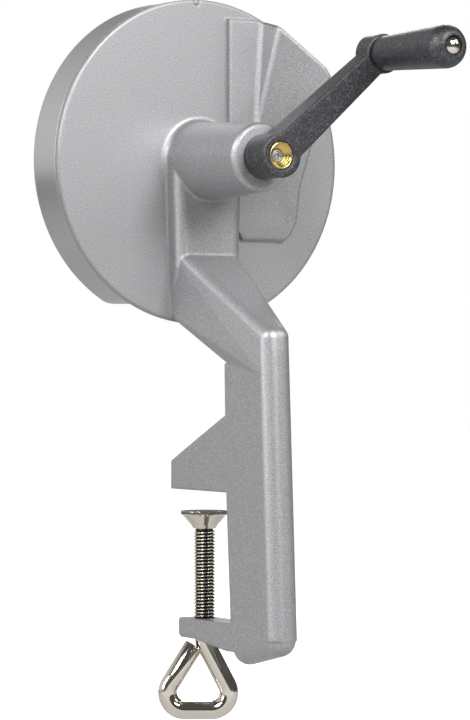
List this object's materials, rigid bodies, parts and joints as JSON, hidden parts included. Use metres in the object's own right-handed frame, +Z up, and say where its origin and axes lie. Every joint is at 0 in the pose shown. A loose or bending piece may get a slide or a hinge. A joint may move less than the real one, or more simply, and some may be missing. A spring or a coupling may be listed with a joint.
{
  "type": "rotary cheese grater with table clamp",
  "caption": "Drum grater turned by a crank with a revolving grip, on a cast stem with a screw clamp for a table edge",
  "frame": {"origin": "on the upper jaw's flat clamping face, where the clamp screw's axis meets it", "axes": "+Z up along the clamp screw, +Y towards the tabletop and the drum's cover, -Y towards the crank and the user, +X to the user's right"},
  "size_m": [0.122, 0.1311, 0.2708],
  "materials": {
    "silver_paint": "silver paint, finely grained, satin",
    "satin_metal": "smooth satin",
    "nickel": "warm nickel plate",
    "steel": "bright",
    "brass": "turned",
    "black_plastic": "fine moulded texture",
    "bush_plastic": "plain"
  },
  "bodies": {
    "body": {"body_casting": "silver_paint", "front_cover": "satin_metal", "cover_screws": "nickel", "index_pin": "steel", "bush_front": "bush_plastic", "bush_rear": "bush_plastic", "crank_washer": "steel"},
    "rotor": {"drive_shaft": "steel", "thrust_washer": "steel", "grating_disc": "steel", "disc_carrier": "nickel", "disc_rivets": "steel", "drive_pin": "steel", "disc_nut": "nickel", "crank_arm": "black_plastic", "crank_insert": "brass", "pin_insert": "brass", "grip_pin": "nickel", "grip_washer": "steel"},
    "grip": {"handle_grip": "black_plastic"},
    "pad": {"pressure_pad": "nickel"},
    "screw": {"clamp_screw": "nickel"}
  },
  "joints": [
    {"name": "crank_spin", "type": "hinge", "parent": "body", "child": "rotor", "pos_m": [0, 0.0032, 0.1233], "axis": [0, -1, 0], "continuous": true},
    {"name": "grip_spin", "type": "hinge", "parent": "rotor", "child": "grip", "pos_m": [0.03907, -0.06245, 0.16129], "axis": [0, -1, 0], "continuous": true},
    {"name": "pad_travel", "type": "slide", "parent": "body", "child": "pad", "axis": [0, 0, 1], "range_m": [-0.0325, 0.00075]},
    {"name": "screw_turn", "type": "hinge", "parent": "pad", "child": "screw", "pos_m": [0, 0, -0.02], "axis": [0, 0, 1], "range_deg": [-9362, 217]}
  ],
  "couplings": [
    {"joint": "screw_turn", "follows": "pad_travel", "rad_per_m": 5026.5}
  ]
}
